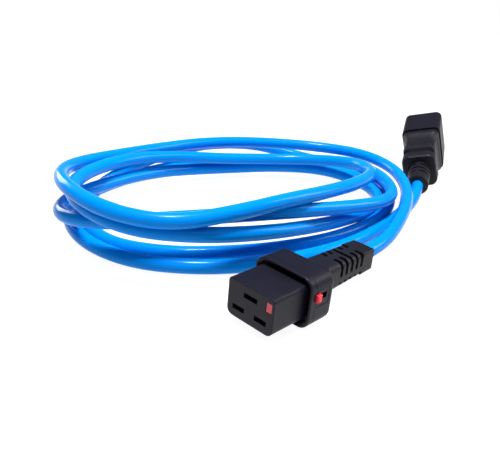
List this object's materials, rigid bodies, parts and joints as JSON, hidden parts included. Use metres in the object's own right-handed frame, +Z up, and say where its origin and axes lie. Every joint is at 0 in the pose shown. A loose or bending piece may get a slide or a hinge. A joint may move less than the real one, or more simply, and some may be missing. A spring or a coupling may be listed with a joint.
{
  "type": "locking power cord",
  "caption": "Free three-core power lead with a locking outlet connector, red release slide on its side, and a shrouded inlet plug on the coiled cord's far end.",
  "frame": {"origin": "centre of the flat underside of the connector's collar, on the surface that it lies on", "axes": "+Z up; -Y the way the connector's contact face looks, +Y towards its cord; +X towards the release button"},
  "size_m": [0.2144, 0.3388, 0.0465],
  "materials": {
    "black_plastic": "satin moulded",
    "red_plastic": "semi-gloss moulded",
    "blue_sheath": "glossy extruded PVC",
    "spring_steel": "bright rolled",
    "brass": "stamped",
    "pin_metal": "nickel plated",
    "core_brown": "extruded",
    "core_blue": "extruded",
    "core_green": "extruded, green and yellow"
  },
  "bodies": {
    "housing": {"collar_front_shell": "black_plastic", "collar_rear_shell": "black_plastic", "contact_earth": "brass", "contact_line": "brass", "contact_neutral": "brass", "cord_coil": "blue_sheath", "cord_run_connector": "blue_sheath", "cord_run_plug": "blue_sheath", "core_earth": "core_green", "core_line": "core_brown", "core_neutral": "core_blue", "front_insert": "black_plastic", "plug_body": "black_plastic", "plug_boot": "black_plastic", "plug_core_earth": "core_green", "plug_core_line": "core_brown", "plug_core_neutral": "core_blue", "plug_pin_earth": "pin_metal", "plug_pin_line": "pin_metal", "plug_pin_neutral": "pin_metal", "plug_shroud": "black_plastic", "return_leaf": "spring_steel", "sheath_connector": "blue_sheath", "sheath_plug": "blue_sheath", "side_cover": "black_plastic", "strain_relief": "black_plastic"},
    "release": {"release_slide": "red_plastic"},
    "lock": {"lock_plate": "spring_steel"}
  },
  "joints": [
    {"name": "release_slide", "type": "slide", "parent": "housing", "child": "release", "axis": [0, 1, 0], "range_m": [0, 0.004], "stiffness_N_per_m": 400, "springref_m": -0.002},
    {"name": "lock_cant", "type": "hinge", "parent": "housing", "child": "lock", "pos_m": [0, -0.0205, 0.0137], "axis": [1, 0, 0], "range_deg": [-10, 0]}
  ],
  "couplings": [
    {"joint": "lock_cant", "follows": "release_slide", "rad_per_m": -43.63}
  ]
}
